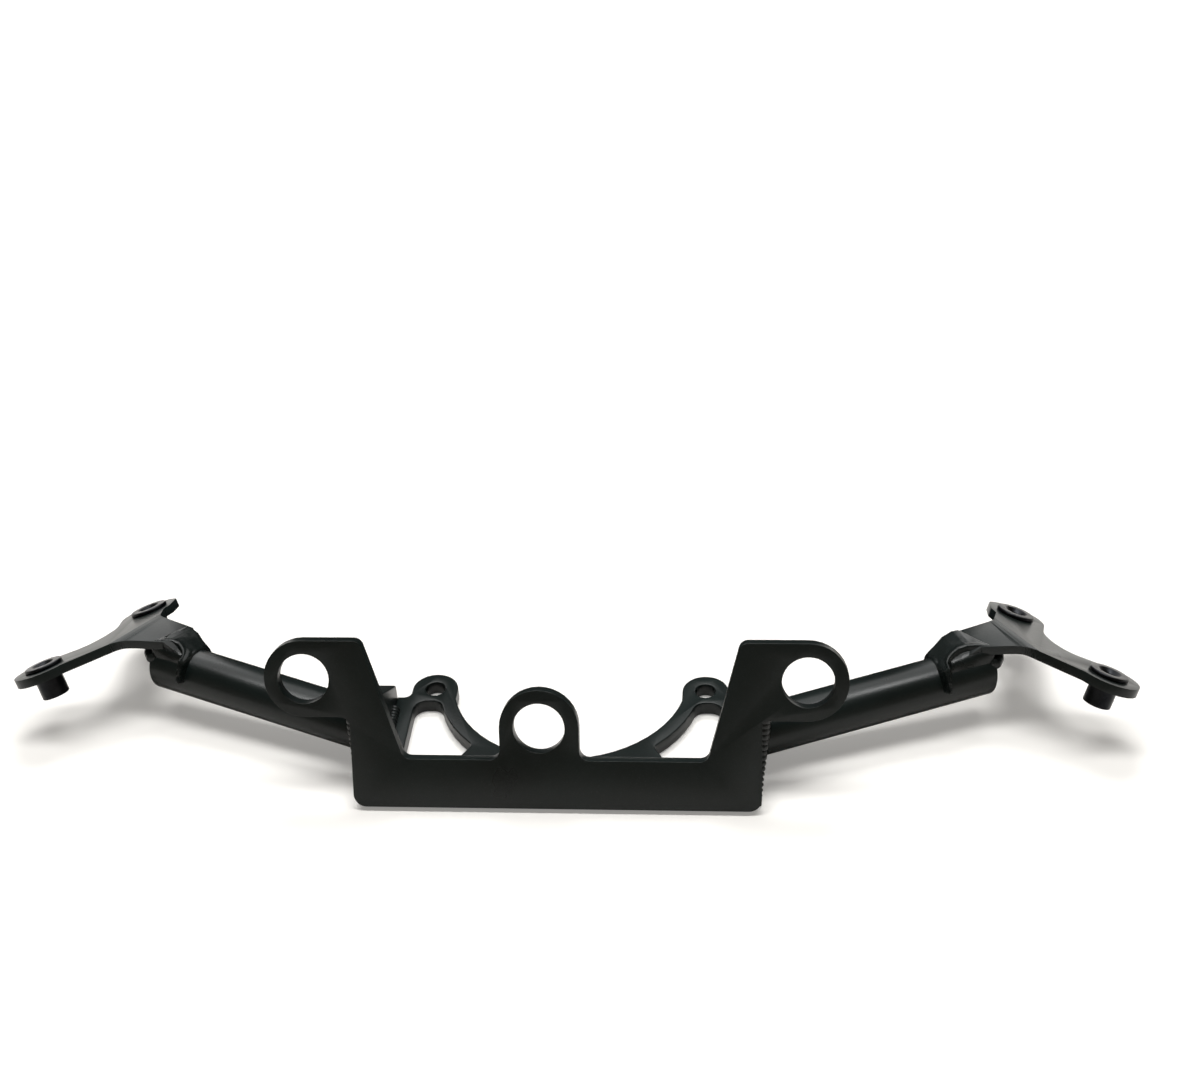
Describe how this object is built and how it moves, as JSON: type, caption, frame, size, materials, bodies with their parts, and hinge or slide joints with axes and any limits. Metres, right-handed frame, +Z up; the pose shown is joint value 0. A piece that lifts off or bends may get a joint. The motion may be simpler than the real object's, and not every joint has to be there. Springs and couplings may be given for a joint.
{
  "type": "fairing stay",
  "caption": "Welded bracket for a motorbike fairing: leaning plate with grommet eyes, base plate with bolted horns, swept side tubes and folded wing plates with threaded inserts.",
  "frame": {"origin": "midway between the two headstock bolt holes, on the base plate's underside", "axes": "+X to the viewer's right along the front plate, +Y away from the front plate towards the headstock, +Z up"},
  "size_m": [0.3632, 0.0884, 0.0519],
  "materials": {
    "coated_aluminium": "satin black coating",
    "coated_weld": "satin black coating over weld",
    "insert_steel": "black oxide"
  },
  "bodies": {
    "root": {"dash_plate": "coated_aluminium", "headstock_plate": "coated_aluminium", "side_gusset_left": "coated_aluminium", "side_gusset_right": "coated_aluminium", "tube_left": "coated_aluminium", "tube_right": "coated_aluminium", "fairing_plate_left": "coated_aluminium", "fairing_plate_right": "coated_aluminium", "insert_left_front": "insert_steel", "insert_left_rear": "insert_steel", "insert_right_front": "insert_steel", "insert_right_rear": "insert_steel", "collar_weld_left": "coated_weld", "collar_weld_right": "coated_weld", "tube_weld_left": "coated_weld", "tube_weld_right": "coated_weld", "side_weld_left": "coated_weld", "side_weld_right": "coated_weld", "base_weld_left": "coated_weld", "base_weld_right": "coated_weld", "back_weld_left": "coated_weld", "back_weld_right": "coated_weld"}
  },
  "joints": []
}
